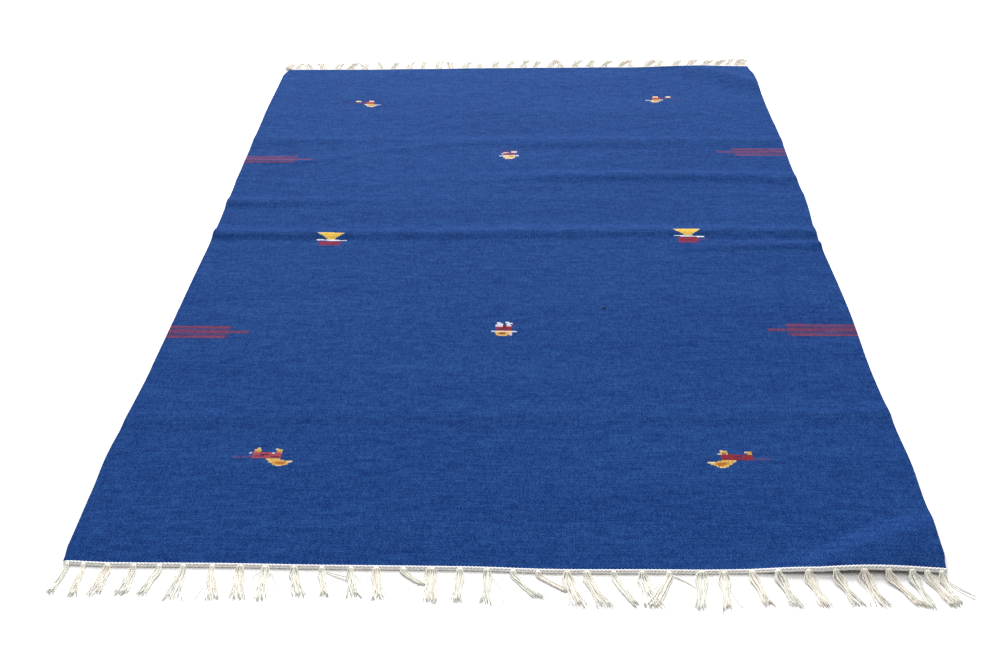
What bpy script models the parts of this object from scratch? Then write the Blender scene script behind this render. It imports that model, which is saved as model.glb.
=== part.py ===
"""A flat-woven kilim rug lying on a floor: the woven cloth with its folds and two raised corners,
and at each end a narrow corded band that carries knotted tassels of warp yarn.

Metres, +Z up. +X runs across the rug to its right edge and +Y along it to the far fringe. The
origin is on the floor, under the middle of the cloth.
"""
import random
from collections import namedtuple

import bmesh
import bpy
import numpy as np

MM = 0.001

# Driving sizes
FIELD_WIDTH = 1.400
FIELD_LENGTH = 2.000
CLOTH_THICK = 4.0 * MM
PIECE_GAP = 0.3 * MM

HALF_WIDTH = FIELD_WIDTH / 2
HALF_LENGTH = FIELD_LENGTH / 2

# Outline: how far each woven edge strays outwards from a true rectangle
# along: place on the rug's length, as a share of its half; left, right: outwards, in metres
SideStray = namedtuple("SideStray", "along left right")
SIDE_STRAYS = [
    SideStray(-1.00, -2.0 * MM, -11.0 * MM),
    SideStray(-0.97, 1.5 * MM, -5.6 * MM),
    SideStray(-0.85, 3.0 * MM, 0.0 * MM),
    SideStray(-0.76, 6.0 * MM, 3.0 * MM),
    SideStray(-0.65, 0.8 * MM, 0.3 * MM),
    SideStray(-0.50, -3.5 * MM, -2.4 * MM),
    SideStray(-0.28, -5.5 * MM, 2.6 * MM),
    SideStray(0.02, -8.5 * MM, -2.0 * MM),
    SideStray(0.20, -6.0 * MM, 6.5 * MM),
    SideStray(0.30, -3.5 * MM, 3.5 * MM),
    SideStray(0.55, -1.2 * MM, 6.0 * MM),
    SideStray(0.70, 0.0 * MM, 2.5 * MM),
    SideStray(0.93, -2.8 * MM, 2.5 * MM),
    SideStray(1.00, -18.0 * MM, -6.0 * MM),
]
# across: place on the rug's width, as a share of its half; near, far: outwards, in metres
EndStray = namedtuple("EndStray", "across near far")
END_STRAYS = [
    EndStray(-1.00, 2.0 * MM, -23.5 * MM),
    EndStray(-0.88, 5.0 * MM, -23.0 * MM),
    EndStray(-0.64, 4.0 * MM, -22.0 * MM),
    EndStray(-0.42, 5.2 * MM, -17.0 * MM),
    EndStray(-0.10, 5.0 * MM, -10.0 * MM),
    EndStray(0.12, 8.6 * MM, -6.0 * MM),
    EndStray(0.40, 6.6 * MM, -3.0 * MM),
    EndStray(0.62, 3.6 * MM, -4.0 * MM),
    EndStray(0.84, 1.0 * MM, 2.0 * MM),
    EndStray(1.00, 1.5 * MM, 4.5 * MM),
]

# Folds: soft ridges from side to side, near end first. The place of the crest along Y and its
# height in millimetres are given at four stations, evenly spaced from the left edge to the right
# edge; near and far are how wide the ridge's two slopes are.
Fold = namedtuple("Fold", "places heights near far")
FOLDS = [
    Fold((-0.658, -0.642, -0.634, -0.622), (2.8, 1.5, 1.3, 3.6), 0.032, 0.045),
    Fold((-0.075, -0.060, -0.045, -0.028), (0.0, 0.0, 0.0, 6.2), 0.022, 0.022),
    Fold((0.008, 0.012, 0.025, 0.025), (7.4, 5.6, 5.8, 6.8), 0.028, 0.040),
    Fold((0.156, 0.174, 0.195, 0.195), (6.0, 0.9, 0.0, 0.0), 0.030, 0.036),
    Fold((0.262, 0.278, 0.300, 0.288), (0.0, 1.8, 4.6, 4.6), 0.036, 0.040),
    Fold((0.505, 0.503, 0.505, 0.505), (2.6, 1.5, 3.9, 3.3), 0.048, 0.026),
    Fold((0.662, 0.668, 0.675, 0.690), (1.0, 1.2, 1.5, 1.0), 0.045, 0.055),
]

# Raised corners, near right and far right: ridges whose crest line runs from start to end. Heights
# are in millimetres: at the start, at the end, and the arch between. The reaches are how wide the
# slopes towards the rug's middle and towards its corner are.
Corner = namedtuple("Corner", "start end high_start high_end arch reach_in reach_out")
CORNERS = [
    Corner((0.490, -1.000), (0.700, -0.905), 6.0, 8.0, 6.0, 0.045, 0.150),
    Corner((0.700, 0.900), (0.500, 1.000), 5.5, 5.5, 0.0, 0.085, 0.120),
]

# Grid of the cloth: close rows near the ends, where the corners rise, and rows along each crest
NEAR_ROWS = (0.0, 0.014, 0.040, 0.066, 0.092, 0.118, 0.150)
FAR_ROWS = (0.160, 0.110, 0.070, 0.036, 0.014, 0.0)
FOLD_ROWS = (-1.0, -0.5, 0.0, 0.5, 1.0)
ROW_PITCH = 0.130
COLUMN_PITCHES = ((-0.70, 0.30, 11), (0.345, 0.70, 9))

# End band: its top, from the cloth outwards, is a twined row, a groove and a thick outer cord
BandPoint = namedtuple("BandPoint", "out high")
BAND_PROFILE = [
    BandPoint(0.0 * MM, 3.8 * MM),
    BandPoint(3.8 * MM, 3.8 * MM),
    BandPoint(4.6 * MM, 2.2 * MM),
    BandPoint(5.4 * MM, 2.2 * MM),
    BandPoint(6.4 * MM, 3.8 * MM),
    BandPoint(9.5 * MM, 2.8 * MM),
]
BAND_WIDTH = BAND_PROFILE[-1].out
BAND_SPLITS = 2

# Tassels: knots on the outer cord, each with four locks of yarn that lie on the floor
TASSEL_COUNT = 35
LOCKS = (-1.5, -0.5, 0.5, 1.5)
KNOT_SIZE = (6.2 * MM, 5.4 * MM, 3.0 * MM)
KNOT_OUT = 0.8 * MM
KNOT_RISE = 3.2 * MM
LOCK_PITCH_ROOT = 2.8 * MM
LOCK_PITCH_TIP = 5.6 * MM
LOCK_WIDTH_ROOT = 1.9 * MM
LOCK_WIDTH_TIP = 3.5 * MM
LOCK_HIGH = 0.72
LOCK_ROOT_IN = 2.5 * MM
LOCK_ROOT_RISE = 0.8 * MM
LOCK_STATIONS = (0.0, 0.45, 1.0)
LEAN_CURVE = 1.25
TIP_STRAY = 0.4 * MM
LENGTH_STRAY = 0.06
LEAN_STRAY = 1.5 * MM

# Tassel by tassel from the left: place on X, sideways lean of the tip, and length; between the
# rows of each table the value runs straight
TASSEL_PLACES = (
    (0, -0.689), (1, -0.6635), (5, -0.503), (12, -0.1995), (18, 0.0545), (31, 0.598),
    (32, 0.632), (33, 0.657), (34, 0.681),
)
NEAR_LEANS = (
    (0, -0.008), (1, 0.001), (3, -0.004), (4, -0.014), (5, -0.002), (6, 0.018),
    (8, 0.005), (9, 0.018), (11, 0.014), (12, 0.008), (13, 0.022), (14, 0.003),
    (16, -0.001), (17, 0.036), (18, 0.034), (19, 0.018), (20, 0.024), (21, 0.015),
    (22, 0.000), (23, -0.015), (25, -0.006), (26, 0.017), (28, 0.016), (29, 0.021),
    (30, 0.014), (33, 0.015), (34, 0.018),
)
NEAR_LENGTHS = (
    (0, 0.055), (5, 0.060), (11, 0.053), (14, 0.061), (18, 0.058), (23, 0.065),
    (25, 0.068), (31, 0.061), (34, 0.056),
)
FAR_LEANS = ((0, -0.006), (9, 0.004), (20, 0.010), (26, 0.018), (34, 0.012))
FAR_LENGTHS = ((0, 0.062), (12, 0.066), (24, 0.062), (34, 0.064))
NEAR_SEED = 7
FAR_SEED = 19

BLUE_WOOL = ((0.035, 0.090, 0.300, 1.0), 0.95)
CREAM_COTTON = ((0.780, 0.740, 0.640, 1.0), 0.90)


def straight(table, value):
    """Reads a table of (place, value) rows, straight between the rows."""
    return np.interp(value, [row[0] for row in table], [row[1] for row in table])


def soft(table, value):
    """Reads a table of (place, value) rows, eased between the rows by half a cosine wave."""
    places = np.array([row[0] for row in table])
    values = np.array([row[1] for row in table])
    step = np.clip(np.searchsorted(places, value, side="right") - 1, 0, len(places) - 2)
    share = np.clip((value - places[step]) / (places[step + 1] - places[step]), 0.0, 1.0)
    return values[step] + (values[step + 1] - values[step]) * (0.5 - 0.5 * np.cos(np.pi * share))


def bend(four, x):
    """Cubic through four values at even stations from the left edge to the right edge, written
    with Newton's forward differences."""
    a, b, c, d = four
    t = (x / HALF_WIDTH + 1) * 1.5
    steeper = (d - 3 * c + 3 * b - a) / 6
    return a + t * ((b - a) + (t - 1) * ((c - 2 * b + a) / 2 + (t - 2) * steeper))


def bump(distance, near, far):
    """Ridge section: half a cosine wave on each side, 1 on the crest and 0 from the feet on."""
    share = np.where(distance < 0, -distance / near, distance / far)
    return 0.5 + 0.5 * np.cos(np.pi * np.clip(share, 0.0, 1.0))


def corner_raise(corner, x, y):
    """Height of the ridge at a raised corner: a bump across its slanted crest line, whose height
    arches along the line as a sine wave."""
    start, end = np.array(corner.start), np.array(corner.end)
    length = np.linalg.norm(end - start)
    along = (end - start) / length
    across = (x - start[0]) * -along[1] + (y - start[1]) * along[0]
    share = np.clip(((x - start[0]) * along[0] + (y - start[1]) * along[1]) / length, 0.0, 1.0)
    crest = corner.high_start + (corner.high_end - corner.high_start) * share
    crest = (crest + corner.arch * np.sin(np.pi * share)) * MM
    return crest * bump(across, corner.reach_out, corner.reach_in)


def lift(x, y):
    """Height of the rug's underside: the raised corners plus one bump along each fold's crest."""
    x = np.asarray(x, dtype=float)
    y = np.asarray(y, dtype=float)
    height = np.zeros(np.broadcast(x, y).shape)
    for corner in CORNERS:
        height = height + corner_raise(corner, x, y)
    stations = np.linspace(-HALF_WIDTH, HALF_WIDTH, 4)
    for fold in FOLDS:
        crest = soft(list(zip(stations, fold.heights)), x) * MM
        height = height + crest * bump(y - bend(fold.places, x), fold.near, fold.far)
    return height


def left_edge(y):
    return -HALF_WIDTH - soft([(row.along * HALF_LENGTH, row.left) for row in SIDE_STRAYS], y)


def right_edge(y):
    return HALF_WIDTH + soft([(row.along * HALF_LENGTH, row.right) for row in SIDE_STRAYS], y)


def near_edge(x):
    return -HALF_LENGTH - soft([(row.across * HALF_WIDTH, row.near) for row in END_STRAYS], x)


def far_edge(x):
    return HALF_LENGTH + soft([(row.across * HALF_WIDTH, row.far) for row in END_STRAYS], x)


def cloth_columns():
    """Places across the rug, closer together on the side of the raised corners."""
    return np.concatenate([np.linspace(*run) for run in COLUMN_PITCHES])


def cloth_rows(x):
    """Places along the rug for each column: one row along every crest and foot, others between."""
    rows = [near_edge(x) + step for step in NEAR_ROWS]
    guides = []
    for fold in FOLDS:
        crest = bend(fold.places, x)
        guides += [crest + step * (fold.near if step < 0 else fold.far) for step in FOLD_ROWS]
    guides += [far_edge(x) - step for step in FAR_ROWS]
    for guide in guides:
        last = rows[-1]
        between = int(np.max(guide - last) // ROW_PITCH)
        for number in range(between):
            rows.append(last + (guide - last) * (number + 1) / (between + 1))
        rows.append(guide)
    return np.array(rows)


def new_material(name, finish):
    colour, roughness = finish
    material = bpy.data.materials.new(name)
    material.use_nodes = True
    shader = material.node_tree.nodes["Principled BSDF"]
    shader.inputs["Base Color"].default_value = colour
    shader.inputs["Roughness"].default_value = roughness
    shader.inputs["Metallic"].default_value = 0.0
    return material


def put(name, mesh, collection, material):
    """Makes an object of a mesh, in its collection and with its material."""
    piece = bpy.data.objects.new(name, mesh)
    collection.objects.link(piece)
    mesh.materials.clear()
    mesh.materials.append(material)
    return piece


def woven_slab(name, columns, rows, high, collection, material):
    """Closed slab over a grid of places: columns and rows are arrays of the grid's shape, and high
    is its thickness there. Its underside follows the folds."""
    row_count, column_count = columns.shape
    bm = bmesh.new()
    bmesh.ops.create_grid(bm, x_segments=column_count - 1, y_segments=row_count - 1, size=1.0)
    for vert in bm.verts:
        column = round((vert.co.x + 1) / 2 * (column_count - 1))
        row = round((vert.co.y + 1) / 2 * (row_count - 1))
        x, y = columns[row, column], rows[row, column]
        vert.co = (x, y, float(lift(x, y)) + high[row, column])
    below = bmesh.ops.extrude_face_region(bm, geom=bm.faces[:])["geom"]
    for vert in (part for part in below if isinstance(part, bmesh.types.BMVert)):
        vert.co.z = float(lift(vert.co.x, vert.co.y))
    bmesh.ops.recalc_face_normals(bm, faces=bm.faces[:])
    mesh = bpy.data.meshes.new(name)
    bm.to_mesh(mesh)
    bm.free()
    return put(name, mesh, collection, material)


def cloth_grid():
    """Places of the cloth's grid on X and on Y, two arrays with a row for each row of the grid."""
    nominal = cloth_columns()
    rows = cloth_rows(nominal)
    share = (nominal + HALF_WIDTH) / FIELD_WIDTH
    columns = left_edge(rows) * (1 - share) + right_edge(rows) * share
    return columns, rows


def build_cloth(collection, material):
    columns, rows = cloth_grid()
    high = np.full(columns.shape, CLOTH_THICK)
    return woven_slab("kilim_cloth", columns, rows, high, collection, material)


def hem(end):
    """Line of the cloth's edge at one end, -1 near and +1 far, as places on X and on Y."""
    columns, rows = cloth_grid()
    row = 0 if end < 0 else -1
    return columns[row], rows[row]


def outside(end, x, out):
    """Place on Y of a point at x that lies a distance out from the cloth's edge at one end."""
    return np.interp(x, *hem(end)) + end * (PIECE_GAP + out)


def build_band(name, end, collection, material):
    """End band along the cloth's edge, parted from it by the gap between pieces."""
    corners = hem(end)[0]
    shares = np.arange(len(corners) * BAND_SPLITS - BAND_SPLITS + 1) / BAND_SPLITS
    places = np.interp(shares, np.arange(len(corners)), corners)
    columns = np.tile(places, (len(BAND_PROFILE), 1))
    outs = np.array([point.out for point in BAND_PROFILE])[:, None]
    rows = outside(end, columns, outs)
    tops = np.array([point.high for point in BAND_PROFILE])[:, None] + np.zeros(columns.shape)
    return woven_slab(name, columns, rows, tops, collection, material)


def build_knots(name, end, places, collection, material):
    """Knots of the tassels on the outer cord, each a small faceted lump."""
    bm = bmesh.new()
    for x in places:
        y = outside(end, x, BAND_WIDTH + KNOT_OUT)
        knot = bmesh.ops.create_icosphere(bm, subdivisions=1, radius=1.0)["verts"]
        bmesh.ops.scale(bm, vec=KNOT_SIZE, verts=knot)
        bmesh.ops.translate(bm, vec=(x, y, float(lift(x, y)) + KNOT_RISE), verts=knot)
    mesh = bpy.data.meshes.new(name)
    bm.to_mesh(mesh)
    bm.free()
    return put(name, mesh, collection, material)


def lock_profile(guides):
    """Section of a lock of yarn, one unit wide: a flat underside and a ridge above it."""
    shape = bpy.data.curves.new("lock_profile", "CURVE")
    shape.dimensions = "2D"
    spline = shape.splines.new("POLY")
    spline.points.add(2)
    for point, corner in zip(spline.points, ((-0.5, 0.0), (0.5, 0.0), (0.0, LOCK_HIGH))):
        point.co = (*corner, 0.0, 1.0)
    spline.use_cyclic_u = True
    profile = bpy.data.objects.new("lock_profile", shape)
    guides.objects.link(profile)
    profile.hide_render = True
    profile.display_type = "WIRE"
    return profile


def build_locks(name, end, places, leans, lengths, seed, profile, collection, material):
    """Locks of yarn: four to a tassel, gathered in the band and fanned out on the floor."""
    chance = random.Random(seed)
    curve = bpy.data.curves.new(name, "CURVE")
    curve.dimensions = "3D"
    curve.twist_mode = "Z_UP"
    curve.bevel_mode = "OBJECT"
    curve.bevel_object = profile
    curve.use_fill_caps = True
    for number, x in enumerate(places):
        lean = straight(leans, number) + chance.uniform(-LEAN_STRAY, LEAN_STRAY)
        root = outside(end, x, BAND_WIDTH - LOCK_ROOT_IN)
        raised = float(lift(x, root))
        for lock in LOCKS:
            length = straight(lengths, number) * (1 - LENGTH_STRAY * chance.random())
            stray = chance.uniform(-TIP_STRAY, TIP_STRAY)
            spline = curve.splines.new("POLY")
            spline.points.add(len(LOCK_STATIONS) - 1)
            for point, share in zip(spline.points, LOCK_STATIONS):
                pitch = LOCK_PITCH_ROOT + (LOCK_PITCH_TIP - LOCK_PITCH_ROOT) * share
                side = lock * pitch + lean * share ** LEAN_CURVE + stray * share
                out = (LOCK_ROOT_IN + length) * share
                rise = LOCK_ROOT_RISE + raised if share == 0 else raised * (1 - share) ** 4
                level = rise if share < 1 and (share == 0 or raised > PIECE_GAP) else 0.0
                point.co = (x + side, root + end * out, level, 1.0)
                point.radius = LOCK_WIDTH_ROOT + (LOCK_WIDTH_TIP - LOCK_WIDTH_ROOT) * share
    piece = bpy.data.objects.new(name, curve)
    collection.objects.link(piece)
    return as_mesh(piece, collection, material)


def as_mesh(piece, collection, material):
    """Turns a curve object into a closed mesh object of the same name and place."""
    bpy.context.view_layer.update()
    evaluated = piece.evaluated_get(bpy.context.evaluated_depsgraph_get())
    mesh = bpy.data.meshes.new_from_object(evaluated)
    bm = bmesh.new()
    bm.from_mesh(mesh)
    bmesh.ops.remove_doubles(bm, verts=bm.verts[:], dist=0.01 * MM)
    bmesh.ops.recalc_face_normals(bm, faces=bm.faces[:])
    bm.to_mesh(mesh)
    bm.free()
    name = piece.name
    matrix = piece.matrix_world.copy()
    bpy.data.objects.remove(piece)
    solid = put(name, mesh, collection, material)
    solid.matrix_world = matrix
    return solid


def fuse(base, added):
    """Unites a piece with others, whose own objects stay as hidden guides."""
    for other in added:
        modifier = base.modifiers.new("fuse_" + other.name, "BOOLEAN")
        modifier.operation = "UNION"
        modifier.solver = "EXACT"
        modifier.object = other
        other.hide_render = True
        other.display_type = "WIRE"


def build_fringe(name, end, leans, lengths, seed, profile, parts, guides, material):
    """One end of the rug: its band with the knots and the locks of yarn fused to it."""
    places = straight(TASSEL_PLACES, np.arange(TASSEL_COUNT))
    band = build_band(name, end, parts, material)
    knots = build_knots(name + "_knots", end, places, guides, material)
    locks = build_locks(
        name + "_locks", end, places, leans, lengths, seed, profile, guides, material
    )
    fuse(band, [knots, locks])
    return band


def main():
    for leftover in list(bpy.data.objects):
        bpy.data.objects.remove(leftover)
    parts = bpy.data.collections.new("kilim_rug")
    guides = bpy.data.collections.new("guides")
    bpy.context.scene.collection.children.link(parts)
    bpy.context.scene.collection.children.link(guides)
    build_cloth(parts, new_material("blue_wool", BLUE_WOOL))
    cotton = new_material("cream_cotton", CREAM_COTTON)
    profile = lock_profile(guides)
    build_fringe(
        "fringe_near", -1, NEAR_LEANS, NEAR_LENGTHS, NEAR_SEED, profile, parts, guides, cotton
    )
    build_fringe(
        "fringe_far", 1, FAR_LEANS, FAR_LENGTHS, FAR_SEED, profile, parts, guides, cotton.copy()
    )


main()
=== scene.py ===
"""Looks of the kilim rug: the woven field with its small figures, the side edges, and at each end
the twined row, the outer cord and the tassels of cotton yarn, laid out on a pale floor.
"""
import math
from collections import namedtuple

import bmesh
import bpy
import numpy as np
from mathutils import Matrix, Vector


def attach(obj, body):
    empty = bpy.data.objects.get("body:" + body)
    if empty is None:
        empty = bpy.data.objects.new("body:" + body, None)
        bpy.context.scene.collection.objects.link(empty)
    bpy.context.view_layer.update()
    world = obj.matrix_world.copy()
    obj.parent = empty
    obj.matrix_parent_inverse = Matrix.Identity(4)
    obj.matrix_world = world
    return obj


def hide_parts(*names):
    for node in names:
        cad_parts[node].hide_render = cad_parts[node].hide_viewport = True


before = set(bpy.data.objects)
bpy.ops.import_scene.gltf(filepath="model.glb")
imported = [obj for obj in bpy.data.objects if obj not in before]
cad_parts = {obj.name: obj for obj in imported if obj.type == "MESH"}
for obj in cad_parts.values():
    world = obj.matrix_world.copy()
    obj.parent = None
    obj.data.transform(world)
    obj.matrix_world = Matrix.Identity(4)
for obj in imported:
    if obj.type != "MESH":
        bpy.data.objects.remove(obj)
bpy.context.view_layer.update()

MM = 0.001

# Driving sizes, those of the CAD model
FIELD_WIDTH = 1.400
FIELD_LENGTH = 2.000
CLOTH_THICK = 4.0 * MM
PIECE_GAP = 0.3 * MM
HALF_WIDTH = FIELD_WIDTH / 2
HALF_LENGTH = FIELD_LENGTH / 2

# How far the woven edges stray outwards from a true rectangle, in millimetres
# along, across: place as a share of the rug's half length or width
SideStray = namedtuple("SideStray", "along left right")
SIDE_STRAYS = [SideStray(*row) for row in (
    (-1.00, -2.0, -11.0), (-0.97, 1.5, -5.6), (-0.85, 3.0, 0.0), (-0.76, 6.0, 3.0),
    (-0.65, 0.8, 0.3), (-0.50, -3.5, -2.4), (-0.28, -5.5, 2.6), (0.02, -8.5, -2.0),
    (0.20, -6.0, 6.5), (0.30, -3.5, 3.5), (0.55, -1.2, 6.0), (0.70, 0.0, 2.5), (0.93, -2.8, 2.5),
    (1.00, -18.0, -6.0),
)]
EndStray = namedtuple("EndStray", "across near far")
END_STRAYS = [EndStray(*row) for row in (
    (-1.00, 2.0, -23.5), (-0.88, 5.0, -23.0), (-0.64, 4.0, -22.0), (-0.42, 5.2, -17.0),
    (-0.10, 5.0, -10.0), (0.12, 8.6, -6.0), (0.40, 6.6, -3.0), (0.62, 3.6, -4.0),
    (0.84, 1.0, 2.0), (1.00, 1.5, 4.5),
)]

# Folds, near end first: the crest's place along Y in metres and its height in millimetres, each at
# four even stations from the left edge to the right edge, and how wide its two slopes are
Fold = namedtuple("Fold", "places heights near far")
FOLDS = [
    Fold((-0.658, -0.642, -0.634, -0.622), (2.8, 1.5, 1.3, 3.6), 0.032, 0.045),
    Fold((-0.075, -0.060, -0.045, -0.028), (0.0, 0.0, 0.0, 6.2), 0.022, 0.022),
    Fold((0.008, 0.012, 0.025, 0.025), (7.4, 5.6, 5.8, 6.8), 0.028, 0.040),
    Fold((0.156, 0.174, 0.195, 0.195), (6.0, 0.9, 0.0, 0.0), 0.030, 0.036),
    Fold((0.262, 0.278, 0.300, 0.288), (0.0, 1.8, 4.6, 4.6), 0.036, 0.040),
    Fold((0.505, 0.503, 0.505, 0.505), (2.6, 1.5, 3.9, 3.3), 0.048, 0.026),
    Fold((0.662, 0.668, 0.675, 0.690), (1.0, 1.2, 1.5, 1.0), 0.045, 0.055),
]

# Raised corners, near right and far right: ridges whose crest line runs from start to end. Heights
# are in millimetres: at the start, at the end, and the arch between. The reaches are how wide the
# slopes towards the rug's middle and towards its corner are.
Corner = namedtuple("Corner", "start end high_start high_end arch reach_in reach_out")
CORNERS = [
    Corner((0.490, -1.000), (0.700, -0.905), 6.0, 8.0, 6.0, 0.045, 0.150),
    Corner((0.700, 0.900), (0.500, 1.000), 5.5, 5.5, 0.0, 0.085, 0.120),
]

# Small creases between the folds: a low ridge from start to end with a bow on the way; high is in
# millimetres
Crease = namedtuple("Crease", "start end bow high near far")
CREASES = [
    Crease((-0.60, 0.350), (-0.04, 0.497), 0.020, 2.2, 0.022, 0.026),
    Crease((-0.72, 0.376), (-0.53, 0.372), 0.000, 2.4, 0.014, 0.020),
    Crease((-0.72, 0.272), (-0.54, 0.266), 0.000, 2.2, 0.012, 0.016),
    Crease((-0.42, 0.243), (-0.24, 0.250), 0.004, 1.7, 0.012, 0.016),
    Crease((-0.04, 0.240), (0.14, 0.238), 0.003, 2.2, 0.014, 0.014),
    Crease((-0.04, 0.474), (0.40, 0.472), 0.002, 2.0, 0.024, 0.030),
    Crease((0.04, 0.302), (0.76, 0.300), 0.004, 1.8, 0.032, 0.036),
    Crease((-0.45, 0.822), (-0.33, 0.818), 0.000, 0.9, 0.012, 0.014),
    Crease((0.46, 0.212), (0.74, 0.208), 0.000, 1.8, 0.034, 0.024),
    Crease((0.50, 0.110), (0.74, 0.110), 0.000, 1.2, 0.016, 0.022),
    Crease((-0.74, -0.305), (-0.56, -0.308), 0.000, 1.6, 0.010, 0.012),
    Crease((-0.74, -0.925), (0.50, -0.930), 0.002, 0.5, 0.008, 0.010),
    Crease((0.55, 0.975), (0.712, 0.862), 0.000, 6.2, 0.105, 0.050),
]

# Small unevenness of the woven field: shallow swells, longer across the rug than along it
# across, along: wavelengths in metres; turn: phase; high: height in millimetres
Swell = namedtuple("Swell", "across along turn high")
SWELLS = [
    Swell(1.10, 0.31, 0.4, 0.22),
    Swell(-0.83, 0.173, 1.9, 0.20),
    Swell(0.57, 0.117, 3.3, 0.14),
    Swell(-0.39, 0.083, 5.1, 0.10),
    Swell(0.29, 0.241, 2.2, 0.12),
]

# Grid of the field, and how finely its cells are split where a figure is woven in
FIELD_COLUMNS = 112
FIELD_ROWS = 200
FIGURE_CUTS = 4
FIGURE_MARGIN = 0.006

# Yarn colours of the figures, two of them with painted light
YELLOW = (0.58, 0.375, 0.085)
AMBER = (0.61, 0.355, 0.090)
# Brighter copy of YELLOW for the goblets' cups: painted light against the fold's shaded slope
GOBLET_YELLOW_PAINTED_LIGHT = (0.82, 0.540, 0.085)
STRAW = (0.62, 0.470, 0.230)
GOLD = (0.50, 0.265, 0.036)
ORANGE = (0.42, 0.140, 0.022)
EMBER = (0.38, 0.070, 0.022)
CREAM = (0.66, 0.530, 0.330)
WHITE = (0.57, 0.600, 0.690)
# Brighter copy of WHITE for the goblets' saucer line: painted light against the fold's shaded slope
GOBLET_WHITE_PAINTED_LIGHT = (0.82, 0.850, 0.950)
PINK = (0.57, 0.460, 0.490)
RED = (0.24, 0.020, 0.024)
DEEP_RED = (0.15, 0.012, 0.015)
ROSE = (0.33, 0.058, 0.068)
LINE_RED = (0.180, 0.038, 0.074)
LILAC = (0.150, 0.050, 0.125)
MAUVE = (0.085, 0.034, 0.080)
BROWN = (0.13, 0.045, 0.015)
NAVY = (0.004, 0.008, 0.030)

# Figures, charted in woven bars: each bar has a yarn, its left and right and its low and high
# side in millimetres from the figure's own origin, and how solidly the yarn covers the ground.
# From the bird's back up, the two near birds differ.
Bar = namedtuple("Bar", "yarn left right low high cover", defaults=(1.0,))
BIRD_BACK = 13


def chart(*rows):
    """Bars of a figure from plain rows."""
    return [Bar(*row) for row in rows]


BIRD = chart(
    (LILAC, -34, 0, 1, 6, 0.35), (LINE_RED, -5, 0, 3, 12, 0.35), (RED, 2, 51, 0, 15),
    (LINE_RED, 3, 22, 5, 8, 0.8), (DEEP_RED, 14, 30, 9, 12, 0.8), (DEEP_RED, 34, 50, 3, 6, 0.8),
    (YELLOW, 1, 15, 13, 19), (GOLD, 3, 15, 16, 20), (YELLOW, 2, 13, 20, 24),
    (CREAM, 6, 11, 24, 28, 0.9), (YELLOW, 42, 52, 14, 18), (GOLD, 44, 52, 17, 20),
    (YELLOW, 41, 52, 20, 24), (CREAM, 39, 44, 22, 26, 0.9), (WHITE, -5, -1, 13, 16, 0.7),
    (WHITE, 35, 40, 13, 16, 0.7), (YELLOW, 27, 52, -3, 0), (CREAM, 28, 33, -6, -2),
    (YELLOW, 30, 58, -6, -3), (YELLOW, 32, 68, -9, -5), (CREAM, 64, 75, -9, -5),
    (YELLOW, 34, 70, -12, -9), (YELLOW, 38, 66, -15, -12), (YELLOW, 42, 62, -18, -15),
    (CREAM, 46, 57, -20, -18), (GOLD, 39, 64, -13, -7), (ORANGE, 43, 61, -13, -7),
    (ORANGE, 48, 58, -16, -12),
)
# The near left bird is woven in a paler red
ROSE_BIRD = [bar._replace(yarn=ROSE) if bar.yarn == RED else bar for bar in BIRD] + chart(
    (ROSE, 2, 34, 13, 16), (ROSE, 41, 50, 13, 16),
)
# The near right bird has the same body and boat, and tufts of its own on its back
RIGHT_BIRD = [bar for bar in BIRD if bar.low < BIRD_BACK] + chart(
    (RED, -4, 8, 0, 15), (RED, 46, 52, 0, 15), (YELLOW, -5, 4, 14, 22), (GOLD, -4, 3, 17, 20),
    (CREAM, 3, 9, 19, 23, 0.9), (YELLOW, 38, 52, 14, 23), (ORANGE, 41, 49, 13, 19, 0.7),
    (CREAM, 46, 51, 22, 26, 0.9), (WHITE, 51, 55, 14, 17, 0.7),
)
FAR_BIRD = chart(
    (MAUVE, -30, 0, 0, 4, 0.4), (MAUVE, -2, 34, 2, 14, 0.7), (LINE_RED, 0, 34, 4, 9, 0.4),
    (BROWN, 28, 55, -1, 12, 0.7), (EMBER, 32, 54, 0, 13, 0.9), (CREAM, 2, 14, 13, 20),
    (PINK, 12, 17, 13, 17), (CREAM, 38, 52, 13, 21), (STRAW, 29, 56, -6, -2),
    (WHITE, 26, 33, -6, -1, 0.9), (STRAW, 32, 60, -11, -5), (WHITE, 56, 66, -10, -5, 0.75),
    (WHITE, 66, 74, -9, -4, 0.55), (STRAW, 37, 60, -17, -11), (CREAM, 42, 54, -20, -17),
    (ORANGE, 38, 53, -12, -5, 0.9),
)
MASK = chart(
    (WHITE, -15, -7, 18, 23), (WHITE, -12, -3, 13, 19), (WHITE, -17, -8, 8, 15),
    (PINK, -14, -3, 8, 13), (WHITE, 4, 10, 19, 24), (WHITE, 9, 18, 16, 21),
    (WHITE, 5, 13, 12, 17), (PINK, 5, 19, 8, 13), (RED, -16, 16, -7, 8), (DEEP_RED, -3, 4, 4, 14),
    (DEEP_RED, -12, 8, -2, 2, 0.7), (LINE_RED, 16, 22, 8, 14, 0.5), (WHITE, -26, 26, -11, -7),
    (CREAM, -15, 16, -12, -7), (AMBER, -17, 15, -17, -11), (AMBER, -15, 18, -22, -16),
    (PINK, 13, 18, -23, -12), (AMBER, -10, 6, -25, -22, 0.8), (ORANGE, -10, 4, -19, -13, 0.5),
    (BROWN, -7, 0, -18, -13),
)
FAR_MASK = chart(
    (MAUVE, -26, 22, 10, 26, 0.35), (PINK, -22, -14, 2, 9, 0.9), (PINK, -16, -2, 6, 15, 0.9),
    (PINK, 3, 18, 11, 21, 0.9), (LINE_RED, -17, 15, 0, 8, 0.9), (RED, -6, 12, 3, 10, 0.8),
    (WHITE, -26, -14, -10, -4, 0.7), (WHITE, 12, 24, -8, 0, 0.8), (CREAM, -17, 14, -8, -1),
    (STRAW, -16, 14, -18, -7), (STRAW, -10, 10, -23, -17), (ORANGE, 0, 9, -10, -5, 0.7),
)
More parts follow.
